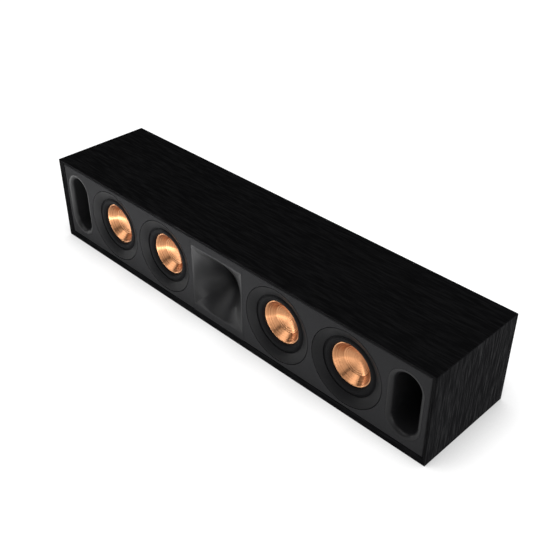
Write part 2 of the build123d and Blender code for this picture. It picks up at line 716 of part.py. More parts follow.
def leads():
    """Wires from the circuit board to the tabs of the woofers and to the tweeter's plate."""
    tab_z = AXIS_Z + BASKET_NECK + BASKET_WALL / 2 + TAB[1] - LEAD_RADIUS - CLEAR
    turn = YOKE + PLATE + 2 * LEAD_BEND
    edge = BOARD_SIZE[0] / 2 - 3 * LEAD_RADIUS
    high = AXIS_Z + BOARD_SIZE[1] / 2 - 3 * LEAD_RADIUS
    window = AXIS_Z + (HEIGHT / 2 - BOARD - BRACE_FRAME) - 3 * LEAD_RADIUS
    drop = CIRCUIT_FRONT - 2.5 * LEAD_BEND
    near_brace = BRACE_X + BRACE
    wires = []
    for x in WOOFER_X:
        side = 1 if x > 0 else -1
        outer = abs(x) > INNER_WOOFER_X
        z = window if outer else high
        route = [(x, TAB_BACK, tab_z), (x, turn, tab_z)]
        if outer:
            route.append((side * near_brace, (turn + drop) / 2, z))
        wires.append(lead(route + [(side * edge, drop, z), (side * edge, CIRCUIT_FRONT, z)]))
    plate_z = AXIS_Z + (TWEETER_RADIUS + TWEETER_MAGNET_RADIUS) / 2
    back = TWEETER + TWEETER_PLATE
    aside = LEAD_BEND
    route = [(0, back, plate_z), (0, turn, plate_z), (aside, drop, high), (aside, CIRCUIT_FRONT, high)]
    return wires + [lead(route)]


def screws():
    """All the countersunk screws: four to a basket, four in the terminal cup."""
    placed = []
    front, back = screw(FLANGE_FRONT, -1), screw(DEPTH, 1)
    for x in WOOFER_X:
        placed += [Pos(x + dx, 0, AXIS_Z + dz) * front for dx, dz in around(SCREW_CIRCLE, 4, 45)]
    return placed + [Pos(x, 0, z) * back for x, z in cup_screws()]


def build():
    """Every node of the speaker by name, as one solid or a list of like solids."""
    nodes = skin_boards()
    nodes["front_baffle"] = front_baffle()
    nodes["back_panel"] = back_panel()
    nodes["cabinet_braces"] = braces()
    nodes["left_port"] = Pos(-PORT_X, 0, 0) * port()
    nodes["right_port"] = Pos(PORT_X, 0, 0) * port()
    pieces = woofer_pieces()
    for number, x in enumerate(WOOFER_X, 1):
        for name, piece in pieces.items():
            nodes[f"woofer_{number}_{name}"] = Pos(x, 0, AXIS_Z) * piece
    for name, piece in motor_pieces().items():
        nodes[name] = [Pos(x, 0, AXIS_Z) * piece for x in WOOFER_X]
    nodes["horn"] = horn()
    for name, piece in tweeter_pieces().items():
        nodes[name] = Pos(0, 0, AXIS_Z) * piece
    nodes["terminal_cup"] = terminal_cup()
    insert = washer(INSERT_RADIUS, INSERT_BORE, KNOB_BASE, KNOB_BASE + INSERT_LENGTH)
    for colour, (x, z) in zip(("red", "black"), post_places()):
        nodes[f"{colour}_post"] = Pos(x, 0, z) * binding_post()
        nodes[f"{colour}_insert"] = Pos(x, 0, z) * insert
        nodes[f"{colour}_knob"] = Pos(x, 0, z) * post_knob()
    fronts = (CUP_BACK - NUT, CIRCUIT_FRONT - NUT)
    nodes["post_nuts"] = [Pos(x, 0, z) * post_nut(front) for x, z in post_places() for front in fronts]
    nodes["crossover_board"] = circuit_board()
    nodes["crossover_inductors"] = inductors()
    nodes["crossover_capacitors"] = capacitors()
    nodes["internal_leads"] = leads()
    nodes["screws"] = screws()
    return nodes


os.makedirs("parts", exist_ok=True)
for node, shape in build().items():
    solids = shape if isinstance(shape, list) else [shape]
    export_step(Compound([solid for piece in solids for solid in piece.solids()]), f"parts/{node}.step")
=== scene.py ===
from math import pi, radians

import bmesh
import bpy
import numpy as np
from mathutils import Matrix, Vector


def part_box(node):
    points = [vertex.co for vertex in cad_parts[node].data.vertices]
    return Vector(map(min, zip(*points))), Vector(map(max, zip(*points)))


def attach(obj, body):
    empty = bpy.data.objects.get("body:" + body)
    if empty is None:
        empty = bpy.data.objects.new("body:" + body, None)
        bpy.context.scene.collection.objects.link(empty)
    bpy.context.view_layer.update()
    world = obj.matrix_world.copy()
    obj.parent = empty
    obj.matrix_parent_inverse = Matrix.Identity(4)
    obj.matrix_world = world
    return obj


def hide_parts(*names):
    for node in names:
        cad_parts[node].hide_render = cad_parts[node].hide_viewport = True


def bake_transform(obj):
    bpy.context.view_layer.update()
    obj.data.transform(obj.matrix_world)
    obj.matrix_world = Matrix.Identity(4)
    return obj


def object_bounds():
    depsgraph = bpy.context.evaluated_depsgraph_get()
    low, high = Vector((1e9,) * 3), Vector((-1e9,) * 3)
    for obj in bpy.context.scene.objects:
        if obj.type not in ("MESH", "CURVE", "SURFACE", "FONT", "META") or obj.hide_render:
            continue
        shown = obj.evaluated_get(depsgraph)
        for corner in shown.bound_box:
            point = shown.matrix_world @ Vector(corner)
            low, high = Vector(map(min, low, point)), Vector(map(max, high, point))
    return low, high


# A center channel speaker on a pale floor. X runs along its width, the front faces -Y and Z is up.
# Section sizes are in millimetres; a depth is counted backwards from the cabinet's front edge.
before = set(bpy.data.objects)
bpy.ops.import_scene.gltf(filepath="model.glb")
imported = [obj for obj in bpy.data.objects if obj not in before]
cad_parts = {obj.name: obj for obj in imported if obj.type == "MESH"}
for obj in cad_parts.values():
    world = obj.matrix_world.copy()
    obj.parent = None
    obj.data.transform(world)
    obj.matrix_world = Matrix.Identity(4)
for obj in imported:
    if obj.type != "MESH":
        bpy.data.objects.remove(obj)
cad_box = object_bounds()

MM = 0.001
FRONT = cad_box[0].y
WOOFERS = (1, 2, 3, 4)
ROUND = 144              # columns round a turned piece
EASE_STEPS = 5           # points on an eased corner
EASE_SUPPORT = 0.4       # share of the easing from the curve's end to one more point on the run
SHARP = radians(35)      # edges that turn by more than this stay crisp
SAME = 1e-6              # points of a section nearer than this, in millimetres, are one
WELD, SLIVER = 1e-7, 1e-8    # the same for a mesh's points and edges, in metres
NIL = 1e-9               # keeps a length from being zero
FLATTEST = 1e-6          # least opening of a bowed side, in radians

# Trim ring: a funnel from the baffle's face down to the surround
RING_EDGE = 0.8          # rounding of the ring's outer edge
RING_LIP = 0.9           # thickness of the lip round the bore
RING_WALL = 1.8
RING_FOOT = 3.0
RING_SEAT = 5.0          # from the ring's face back to its seat in the baffle
RING_CROWN = 0.3         # how far the funnel swells in front of a straight slope
RING_STEPS = 12
RING_EASING = (0.18, 0.35, 0.2, 0.3, 0, 0, 0, 0.15)  # at the funnel's ends, then at the other corners
RING_CLEAR = 1.5         # bore beyond the surround's moving part

# Surround: a half roll of rubber between the basket's flange and the cone's rim
RUBBER = 0.7
LAND = 3.0
ROLL_HEIGHT = 3.4
ROLL_STEPS = 24
ROLL_EASING = 0.4        # at both ends of the roll's front
LEG_BACK = 3.5           # from the land's front back to the leg that is glued to the cone
LEG_WIDTH = 1.55
LEG_LAP = 0.15           # the leg laps over the cone's rim

# Cone and dust cap, spun from one thin sheet each
CONE_WALL = 0.5
CONE_RIM = 1.1
CONE_NECK = 1.0
CONE_EASING = (0.1, 0.5, 0, 0, 0, 0, 0.3, 0.1)
NECK_LAP = 0.4           # the winding stands this far out from the neck and the spider's collar
CAP_STEPS = 28

# Spider: corrugated cloth between the basket's shelf and the former
SPIDER_WALL = 0.5
SPIDER_LAND = 3.4        # width glued to the shelf
SPIDER_WAVES = 3
SPIDER_FOOT = 3.2        # from the former to the first wave
SPIDER_DROP = 2.8        # the collar lies this far back, clear of cone and winding at both limits
SPIDER_COLLAR = 1.2
SPIDER_STEPS = 73

# Horn moulding
HORN_FLANGE = 4.0
HORN_MOUTH = 44.0        # half the side of the square mouth
HORN_LENGTH = 40.0
HORN_CURL = 1.4          # how fast the flare opens near the mouth
HORN_BOW = 8.0           # how fast the four sides bow from straight into a circle
HORN_SQUAREST = 0.98     # share of a square at the mouth, where the sides still bow a little
HORN_WALL = 2.5
HORN_THROAT = 12.5
HORN_COLLAR = 36.0       # radius of the collar that carries the tweeter
HORN_SEAT = 5.0
HORN_RECESS = (18.8, 2.5)
HORN_LIP = 1.5           # reach of the rolled edge between plate and wall
HORN_STEPS = 48
HORN_CROWD = 1.4         # rows crowd towards the mouth by this power
SIDE_STEPS = 36          # columns of a bowed side, and of a port's rounded end

# Port moulding
PORT_FLARE = 6.2
PORT_EDGE = 0.3          # flat of the rim outside the quarter-round lip
PORT_FLANGE = 4.0
PORT_WALL = 2.5
PORT_STEPS = 16

# Studio, in metres: soft boxes as name, watts, side, azimuth, elevation and distance
FLOOR_SIDE = 14.0
FLOOR_GLOW = 0.9
SHADOW_REACH = 0.06      # how far from the cabinet the glow is shaded
SHADOW_SAMPLES = 8
STRIP_GLOW = 10.0        # a brighter strip of the floor in front, which the mouldings mirror
STRIP_AHEAD = 0.12
STRIP_WIDTH = 0.05       # from the strip's middle to where its glow ends
STRIP_ENDS = (-0.1, 0.25)    # along X, where the strip starts to fade and where it has faded
STRIP_REST = 0.15        # share of its glow that is left beyond
AIR = 0.15
SOFT_BOXES = (
    ("left_soft_box", 26.0, 1.8, -45, 42, 3.0),
    ("low_soft_box", 20.0, 2.4, 48, 20, 3.0),
    ("right_soft_box", 50.0, 1.0, 88, 8, 2.2),
    ("top_soft_box", 45.0, 2.4, 0, 72, 4.0),
)

# The photograph's camera: sensor and lens in millimetres, its place in metres, angles in degrees
SENSOR, LENS = 36.0, 54.18
VIEW_POINT = (0.65354, -0.62193, 0.67663)
VIEW_AZIMUTH, VIEW_ELEVATION, VIEW_ROLL = 44.555, 35.152, 0.259

# Sockets of the colour Mix node, which share their names with its number sockets
MIX_A, MIX_B, MIX_OUT = 6, 7, 2
WAVE_PERIOD = pi / 10    # of a Wave texture with a scale of 1


def linear(colour):
    """An sRGB hex colour as linear red, green, blue and alpha."""
    part = np.array([int(colour[i:i + 2], 16) for i in (1, 3, 5)]) / 255
    low, high = part / 12.92, ((part + 0.055) / 1.055) ** 2.4
    return (*np.where(part <= 0.04045, low, high).tolist(), 1.0)


def feed(tree, node, inputs):
    """Gives a node's sockets a constant or another node's output."""
    for socket, value in inputs.items():
        if isinstance(value, bpy.types.NodeSocket):
            tree.links.new(value, node.inputs[socket])
        else:
            node.inputs[socket].default_value = value


def add(tree, kind, inputs, **settings):
    """Adds a node with its settings and inputs."""
    node = tree.nodes.new(kind)
    for name, value in settings.items():
        setattr(node, name, value)
    feed(tree, node, inputs)
    return node


def finish(name, **constants):
    """A material of one Principled shader with its constants set on the shader's own sockets."""
    material = bpy.data.materials.new(name)
    material.use_nodes = True
    tree = material.node_tree
    shader = tree.nodes["Principled BSDF"]
    feed(tree, shader, {socket.replace("_", " "): value for socket, value in constants.items()})
    return material, tree, shader


def per_metre(*millimetres):
    """Scale of a pattern whose spots are about this wide along X, Y and Z."""
    return [1000 / size for size in millimetres]


def grained(name, dark, pale, gloss, spots, relief, strength, contrast=(0.3, 0.7), **constants):
    """A skin of one material whose tone, gloss and relief all follow one noise. Spots are its
    widths in millimetres, one for all directions or one each for X, Y and Z; gloss holds the
    roughnesses of dark and pale, relief and strength are the bump's depth in millimetres and its
    force, and contrast is the part of the noise that is spread from dark to pale."""
    material, tree, shader = finish(name, **constants)
    spot = add(tree, "ShaderNodeTexCoord", {}).outputs["Object"]
    widths = {"Vector": spot, "Scale": per_metre(*np.broadcast_to(spots, 3))}
    spot = add(tree, "ShaderNodeMapping", widths).outputs["Vector"]
    noise = {"Vector": spot, "Scale": 1.0, "Detail": 3.0, "Roughness": 0.55}
    noise = add(tree, "ShaderNodeTexNoise", noise).outputs["Fac"]
    low, high = contrast
    level = {"Value": noise, "From Min": low, "From Max": high}
    level = add(tree, "ShaderNodeMapRange", level).outputs["Result"]
    tone = {"Factor": level, MIX_A: linear(dark), MIX_B: linear(pale)}
    shine = {"Value": level, "To Min": gloss[0], "To Max": gloss[1]}
    bump = {"Height": level, "Strength": strength, "Distance": relief * MM}
    feed(tree, shader, {
        "Base Color": add(tree, "ShaderNodeMix", tone, data_type="RGBA").outputs[MIX_OUT],
        "Roughness": add(tree, "ShaderNodeMapRange", shine).outputs["Result"],
        "Normal": add(tree, "ShaderNodeBump", bump).outputs["Normal"],
    })
    return material


def wound(name, dark, pale, turn, roughness, **constants):
    """Wire laid side by side round the Y axis: a sine across each turn, with painted shade in the
    grooves.
    """
    material, tree, shader = finish(name, Roughness=roughness, **constants)
    spot = add(tree, "ShaderNodeTexCoord", {}).outputs["Object"]
    band = {"Vector": spot, "Scale": WAVE_PERIOD * per_metre(turn)[0]}
    band = add(tree, "ShaderNodeTexWave", band, bands_direction="Y").outputs["Fac"]
    tone = {"Factor": band, MIX_A: linear(dark), MIX_B: linear(pale)}
    bump = {"Height": band, "Strength": 0.6, "Distance": turn / 4 * MM}
    feed(tree, shader, {
        "Base Color": add(tree, "ShaderNodeMix", tone, data_type="RGBA").outputs[MIX_OUT],
        "Normal": add(tree, "ShaderNodeBump", bump).outputs["Normal"],
    })
    return material


def woven(name, dark, pale, thread, roughness):
    """Open cloth across the Y axis: sine bands along X and along Z, the lower of the two at each
    place, so that threads cross with dark holes between them."""
    material, tree, shader = finish(name, Roughness=roughness, Sheen_Weight=0.15)
    spot = add(tree, "ShaderNodeTexCoord", {}).outputs["Object"]
    band = {"Vector": spot, "Scale": WAVE_PERIOD * per_metre(thread)[0]}
    warp = add(tree, "ShaderNodeTexWave", band, bands_direction="X").outputs["Fac"]
    weft = add(tree, "ShaderNodeTexWave", band, bands_direction="Z").outputs["Fac"]
    cross = add(tree, "ShaderNodeMath", {0: warp, 1: weft}, operation="MINIMUM").outputs["Value"]
    tone = {"Factor": cross, MIX_A: linear(dark), MIX_B: linear(pale)}
    bump = {"Height": cross, "Strength": 0.5, "Distance": thread / 3 * MM}
    feed(tree, shader, {
        "Base Color": add(tree, "ShaderNodeMix", tone, data_type="RGBA").outputs[MIX_OUT],
        "Normal": add(tree, "ShaderNodeBump", bump).outputs["Normal"],
    })
    return material


def spun_copper(name, dark, pale, rings, gloss):
    """Spun metal: lathe marks far too fine to see stretch each highlight into rays that meet at
    the middle. One noise along the section, by the UV map's V in metres, gives the rings."""
    material, tree, shader = finish(name, Metallic=1.0, Anisotropic=0.85, Anisotropic_Rotation=0.25)
    spot = add(tree, "ShaderNodeUVMap", {}, uv_map="UVMap").outputs["UV"]
    along = add(tree, "ShaderNodeSeparateXYZ", {"Vector": spot}).outputs["Y"]
    noise = {"W": along, "Scale": per_metre(rings)[0], "Detail": 2.0}
    noise = add(tree, "ShaderNodeTexNoise", noise, noise_dimensions="1D").outputs["Fac"]
    level = {"Value": noise, "From Min": 0.3, "From Max": 0.7}
    level = add(tree, "ShaderNodeMapRange", level).outputs["Result"]
    tone = {"Factor": level, MIX_A: linear(dark), MIX_B: linear(pale)}
    shine = {"Value": level, "To Min": gloss[0], "To Max": gloss[1]}
    tangent = add(tree, "ShaderNodeTangent", {}, direction_type="UV_MAP", uv_map="UVMap")
    feed(tree, shader, {
        "Base Color": add(tree, "ShaderNodeMix", tone, data_type="RGBA").outputs[MIX_OUT],
        "Roughness": add(tree, "ShaderNodeMapRange", shine).outputs["Result"],
        "Tangent": tangent.outputs["Tangent"],
    })
    return material


def eased(points, easing):
    """A closed section with its corners eased: each corner becomes a quadratic curve that leaves
    its two runs at the easing distance, with one more point a little further along each run."""
    points = np.asarray(points, float)
    reach = np.broadcast_to(np.asarray(easing, float), len(points))[:, None]
    back = np.roll(points, 1, axis=0) - points
    ahead = np.roll(points, -1, axis=0) - points
    back /= np.maximum(np.linalg.norm(back, axis=1, keepdims=True), NIL)
    ahead /= np.maximum(np.linalg.norm(ahead, axis=1, keepdims=True), NIL)
    start, end = points + back * reach, points + ahead * reach
    curve = bent(start[:, None], points[:, None], end[:, None], EASE_STEPS)
    support = EASE_SUPPORT * reach
    rows = np.concatenate(
        [(start + back * support)[:, None], curve, (end + ahead * support)[:, None]], axis=1
    ).reshape(-1, points.shape[1])
    moved = np.linalg.norm(rows - np.roll(rows, 1, axis=0), axis=1) > SAME
    return rows[moved]


def bent(start, corner, end, steps):
    """Quadratic curve from start to end that is pulled towards a corner."""
    t = np.linspace(0, 1, steps)[:, None]
    return (1 - t) ** 2 * start + 2 * t * (1 - t) * corner + t ** 2 * end


def arc(start, end, height, steps):
    """Points of a circular arc that stands `height` in front of the chord from start to end."""
    start, end = np.asarray(start, float), np.asarray(end, float)
    chord = end - start
    half = np.linalg.norm(chord) / 2
    forward = np.array([chord[1], -chord[0]]) / (2 * half)
    forward *= -np.sign(forward[1])
    radius = (half ** 2 + height ** 2) / (2 * height)
    centre = (start + end) / 2 + forward * (height - radius)
    opening = np.arctan2(half, radius - height)
    angle = np.linspace(-opening, opening, steps)[:, None]
    return centre + radius * (np.cos(angle) * forward + np.sin(angle) * chord / (2 * half))


def surface(name, points, section, around_rows=True):
    """A grid of points as a mesh: columns always close, rows close unless they end in poles. U of
    its UV map runs round the piece, V is the length along its section in metres. Faces are turned
    outwards by the sign of the volume that they hold."""
    rows, columns = points.shape[:2]
    index = np.arange(rows * columns).reshape(rows, columns)
    index = np.pad(index, ((0, int(around_rows)), (0, 1)), mode="wrap")
    steps = np.linalg.norm(np.roll(section, -1, axis=0) - section, axis=1)
    along = np.concatenate([[0], np.cumsum(steps)])[:len(index)] * MM
    v, u = np.meshgrid(along, np.arange(columns + 1) / columns, indexing="ij")
    uv = np.stack([u, v], axis=-1)
    corners = ((slice(None, -1), slice(None, -1)), (slice(1, None), slice(None, -1)),
               (slice(1, None), slice(1, None)), (slice(None, -1), slice(1, None)))
    quads = np.stack([index[c] for c in corners], axis=-1).reshape(-1, 4)
    places = np.stack([uv[c] for c in corners], axis=-2).reshape(-1, 4, 2)
    flat = points.reshape(-1, 3)
    a, b, c, d = (flat[quads[:, i]] for i in range(4))
    volume = np.sum(a * np.cross(b, c)) + np.sum(a * np.cross(c, d))
    if volume < 0:
        quads, places = quads[:, ::-1], places[:, ::-1]
    mesh = bpy.data.meshes.new(name)
    mesh.from_pydata(flat, [], quads.tolist())
    mesh.uv_layers.new(name="UVMap").data.foreach_set("uv", places.ravel().astype(np.float32))
    return mesh


def place(mesh, materials, body, node):
    """Closes a mesh's seams and poles, shades it smooth up to sharp edges, gives it its materials
    and hands it to its body; a piece given two bodies and two points is only baked in place."""
    work = bmesh.new()
    work.from_mesh(mesh)
    bmesh.ops.remove_doubles(work, verts=work.verts, dist=WELD)
    bmesh.ops.dissolve_degenerate(work, edges=work.edges, dist=SLIVER)
    work.to_mesh(mesh)
    work.free()
    mesh.shade_smooth()
    mesh.set_sharp_from_angle(angle=SHARP)
    for skin in materials:
        mesh.materials.append(skin)
    piece = bpy.data.objects.new(mesh.name, mesh)
    bpy.context.scene.collection.objects.link(piece)
    if isinstance(body, str):
        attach(piece, body)
    else:
        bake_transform(piece)
    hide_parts(node)


def turned(section, centre):
    """Turns (radius, depth) points about the Y axis through a centre: x and z go round with the
    cosine and sine of an even angle, y is the depth."""
    angle = np.arange(ROUND) * 2 * pi / ROUND
    radius, depth = section[:, :1] * MM, section[:, 1:] * MM
    level = np.broadcast_to(FRONT + depth, (len(section), ROUND))
    return np.stack(
        [centre.x + radius * np.cos(angle), level, centre.z + radius * np.sin(angle)], axis=-1
    )


def four_sided(section, centre, side):
    """Carries four sides along the depth and turns each a quarter further round the Y axis. Each
    row of the section gives two measures across X, two across Z and the depth; side(across, along)
    gives a side's distance from the axis and its run, for a row's measures in that order."""
    x_size, z_size, depth = section[:, 0:2] * MM, section[:, 2:4] * MM, section[:, 4:] * MM
    x, z = [], []
    for turn, (across, along) in enumerate(((x_size, z_size), (z_size, x_size)) * 2):
        out, run = side(across, along)
        for _ in range(turn):
            out, run = -run, out
        x.append(out)
        z.append(run)
    x, z = np.concatenate(x, axis=1), np.concatenate(z, axis=1)
    return np.stack([centre.x + x, np.broadcast_to(FRONT + depth, x.shape), centre.z + z], axis=-1)


def bowed_side(across, along):
    """A side that bows out in a circular arc. The measures are the side's middle and its corner:
    the run goes with the sine of an angle over the sine of the opening, and the distance falls
    from the middle with one minus the cosine over that sine. Columns crowd towards the creases."""
    middle, corner, reach = across[:, :1], across[:, 1:], along[:, 1:]
    opening = np.maximum(2 * np.arctan((middle - corner) / reach), FLATTEST)
    angle = opening * np.sin(np.linspace(-pi / 2, pi / 2, SIDE_STEPS + 1)[:-1])
    out = middle - reach * (1 - np.cos(angle)) / np.sin(opening)
    return out, reach * np.sin(angle) / np.sin(opening)


def rounded_side(across, along):
    """A straight side and the quarter arc at its end. The measures are the side's distance from
    the axis and the corner's radius."""
    middle, corner, reach = across[:, :1], across[:, 1:], along[:, :1]
    run = np.linspace(-1, 1, SIDE_STEPS // 4)[:-1] * (reach - corner)
    bend = np.linspace(0, pi / 2, SIDE_STEPS)[:-1]
    straight = np.broadcast_to(middle, run.shape)
    out = np.concatenate([straight, middle - corner * (1 - np.cos(bend))], axis=1)
    return out, np.concatenate([run, reach - corner * (1 - np.sin(bend))], axis=1)


def depth_of(y):
    """Depth in millimetres behind the front edge."""
    return (y - FRONT) / MM


def span(node):
    """Centre of a node, half its width in millimetres, and its front and back depths."""
    low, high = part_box(node)
    return (low + high) / 2, (high.x - low.x) / 2 / MM, depth_of(low.y), depth_of(high.y)


def half_height(node):
    """Half a node's height in millimetres."""
    low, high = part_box(node)
    return (high.z - low.z) / 2 / MM


def trim_ring(n, material):
    """Funnel, lip, hollow back and foot of a trim ring, turned about the woofer's axis."""
    node = f"woofer_{n}_trim_ring"
    centre, radius, face, back = span(node)
    bore = span(f"woofer_{n}_surround")[1] - LAND + RING_CLEAR
    seat = face + RING_SEAT
    funnel = arc((radius - RING_EDGE, face), (bore, back - RING_LIP), RING_CROWN, RING_STEPS)
    rest = [
        (bore, back), (bore + RING_WALL, back), (radius - RING_FOOT, face + RING_WALL + RING_EDGE),
        (radius - RING_FOOT, seat), (radius, seat), (radius, face + RING_EDGE),
    ]
    easing = np.insert(RING_EASING, 1, np.zeros(RING_STEPS - 2))
    section = eased(np.concatenate([funnel, rest]), easing)
    place(surface(node, turned(section, centre), section), [material], "cabinet", node)


def surround(n, material):
    """Glued land, half roll and inner leg of the rubber surround, one even wall throughout."""
    node = f"woofer_{n}_surround"
    centre, edge, _, back = span(node)
    flange = back - LEG_BACK
    land = flange - RUBBER
    foot = span(f"woofer_{n}_cone")[1] - CONE_RIM + LEG_LAP
    outer, inner = edge - LAND, foot + LEG_WIDTH
    leg = back - RUBBER
    over = arc((outer, land), (inner, leg), ROLL_HEIGHT, ROLL_STEPS)
    under = arc((inner + RUBBER, back), (outer - RUBBER, flange), ROLL_HEIGHT, ROLL_STEPS)
    points = np.concatenate([[(edge, flange), (edge, land)], over, [(foot, leg), (foot, back)], under])
    easing = np.zeros(len(points))
    easing[[2, 1 + ROLL_STEPS]] = ROLL_EASING
    section = eased(points, easing)
    start, end = (Vector((centre.x, FRONT + depth * MM, centre.z)) for depth in (flange, leg))
    body = ("cabinet", f"woofer_{n}_diaphragm", start, end)
    place(surface(node, turned(section, centre), section), [material], body, node)


def cone(n, material):
    """Rim, straight cone and neck of the diaphragm, an even thin wall."""
    node = f"woofer_{n}_cone"
    centre, radius, face, back = span(node)
    rim = radius - CONE_RIM
    neck = span(f"woofer_{n}_voice_coil")[1] - NECK_LAP
    points = [
        (radius, face), (rim, face), (neck, back - CONE_NECK), (neck, back),
        (neck + CONE_WALL, back), (neck + CONE_WALL, back - CONE_NECK + CONE_WALL),
        (rim, face + CONE_WALL), (radius, face + CONE_WALL),
    ]
    section = eased(points, CONE_EASING)
    body = f"woofer_{n}_diaphragm"
    place(surface(node, turned(section, centre), section), [material], body, node)


def dust_cap(n, material):
    """A shallow spherical dish let into the cone: depth grows with the root of the sphere."""
    node = f"woofer_{n}_dust_cap"
    centre, radius, edge, back = span(node)
    hollow = back - edge - CONE_WALL
    ball = (radius ** 2 + hollow ** 2) / (2 * hollow)
    r = radius * np.sin(np.linspace(0, pi / 2, CAP_STEPS))
    sink = np.sqrt(ball ** 2 - r ** 2) - (ball - hollow)
    front = np.stack([r, edge + sink], axis=1)
    section = np.concatenate([front, front[::-1] + (0, CONE_WALL)])
    mesh = surface(node, turned(section, centre), section, around_rows=False)
    place(mesh, [material], f"woofer_{n}_diaphragm", node)


def spider(n, material):
    """Cloth disc whose depth follows a cosine over a few waves from the shelf to its foot, and then
    drops straight back to a collar round the former."""
    node = f"woofer_{n}_spider"
    centre, edge, crest, back = span(node)
    sheet = back - SPIDER_WALL
    former = span(f"woofer_{n}_voice_coil")[1] - NECK_LAP
    turns = np.linspace(SPIDER_WAVES, 0, SPIDER_STEPS)
    foot, shelf = former + SPIDER_FOOT, edge - SPIDER_LAND
    r = foot + (shelf - foot) * turns / SPIDER_WAVES
    wave = (sheet - crest) / 2 * (1 - np.cos(2 * pi * turns))
    collar = sheet + SPIDER_DROP
    front = np.concatenate([
        [(edge, sheet)], np.stack([r, sheet - wave], axis=1),
        [(former + SPIDER_COLLAR, collar), (former, collar)],
    ])
    section = np.concatenate([front, front[::-1] + (0, SPIDER_WALL)])
    place(surface(node, turned(section, centre), section), [material], "cabinet", node)


def horn_wall(part, wall):
    """Rows of the flare: half the side is the throat plus the rest of the mouth times (1 - part)
    to the curl's power. The corners go from a square's to a circle's as (1 - part) to the bow's."""
    half = HORN_THROAT + (HORN_MOUTH - HORN_THROAT) * (1 - part) ** HORN_CURL + wall
    square = HORN_SQUAREST * (1 - np.maximum(part - wall / HORN_LENGTH, 0)) ** HORN_BOW
    corner = half * (square + (1 - square) / 2 ** 0.5)
    return np.stack([half, corner, half, corner, part * HORN_LENGTH], axis=1)


def horn(flare_skin, plate_skin):
    """Plate, flare with its rolled mouth, throat and the tweeter's collar, one closed section of
    four bowed sides. The mouth's edge is a quadratic curve from the plate to the wall. The last
    ring of faces, from the plate's edge to the mouth, has the plate's own skin."""
    node = "horn"
    centre, wide, face, _ = span(node)
    tall = half_height(node)
    run = np.linspace(0, 1, HORN_STEPS) ** HORN_CROWD
    start = HORN_LIP / HORN_LENGTH
    inside = horn_wall(start + (1 - start) * run, 0)
    mouth = horn_wall(np.zeros(1), 0)
    ring = mouth + np.array([HORN_LIP] * 4 + [0])
    lip = bent(ring, mouth, inside[:1], 2 * EASE_STEPS)[:-1]
    plate = np.array([(wide, wide, tall, tall, HORN_FLANGE), (wide, wide, tall, tall, 0)])
    collar_front = HORN_LENGTH - HORN_WALL / 2
    seat = HORN_LENGTH + HORN_SEAT
    recess, sunk = HORN_RECESS
    turned_rows = np.array([
        (HORN_THROAT, seat - sunk), (recess, seat - sunk), (recess, seat),
        (HORN_COLLAR, seat), (HORN_COLLAR, collar_front),
    ])
    radius, depth = turned_rows.T
    edge = radius / 2 ** 0.5
    collar = np.stack([radius, edge, radius, edge, depth], axis=1)
    start, end = HORN_FLANGE / HORN_LENGTH, collar_front / HORN_LENGTH
    outside = horn_wall(start + (end - start) * run, HORN_WALL)[::-1]
    section = np.concatenate([lip, inside, collar, outside, plate])
    section[:, 4] += face
    points = four_sided(section, centre, bowed_side)
    mesh = surface(node, points, section[:, [0, 4]])
    skins = np.zeros(len(mesh.polygons), int)
    skins[-4 * SIDE_STEPS:] = 1
    mesh.polygons.foreach_set("material_index", skins)
    place(mesh, [flare_skin, plate_skin], "cabinet", node)


def port(node, material):
    """Flush rim, quarter-round lip and duct of a port, an upright obround carried along the depth."""
    centre, wide, face, back = span(node)
    tall = half_height(node)
    flare = PORT_FLARE - PORT_EDGE
    bend = np.linspace(0, pi / 2, PORT_STEPS)
    inset = np.concatenate([[0], PORT_FLARE - flare * (1 - np.sin(bend))])
    depth = np.concatenate([[face], face + flare * (1 - np.cos(bend))])
    outer = PORT_FLARE - PORT_WALL
    inset = np.concatenate([inset, [PORT_FLARE, outer, outer, 0]])
    depth = np.concatenate([depth, [back, back, face + PORT_FLANGE, face + PORT_FLANGE]])
    section = np.stack([wide - inset, wide - inset, tall - inset, wide - inset, depth], axis=1)
    points = four_sided(section, centre, rounded_side)
    place(surface(node, points, section[:, [0, 4]]), [material], "cabinet", node)


def dress(material, *nodes):
    """Gives CAD nodes a procedural material in place of their plain one."""
    for node in nodes:
        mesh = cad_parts[node].data
        mesh.materials.clear()
        mesh.materials.append(material)


def bearing(azimuth, elevation):
    """Direction from the object: azimuth 0 is in front of it, 90 to its right; degrees."""
    azimuth, elevation = radians(azimuth), radians(elevation)
    level = np.cos(elevation)
    return Vector((level * np.sin(azimuth), -level * np.cos(azimuth), np.sin(elevation)))


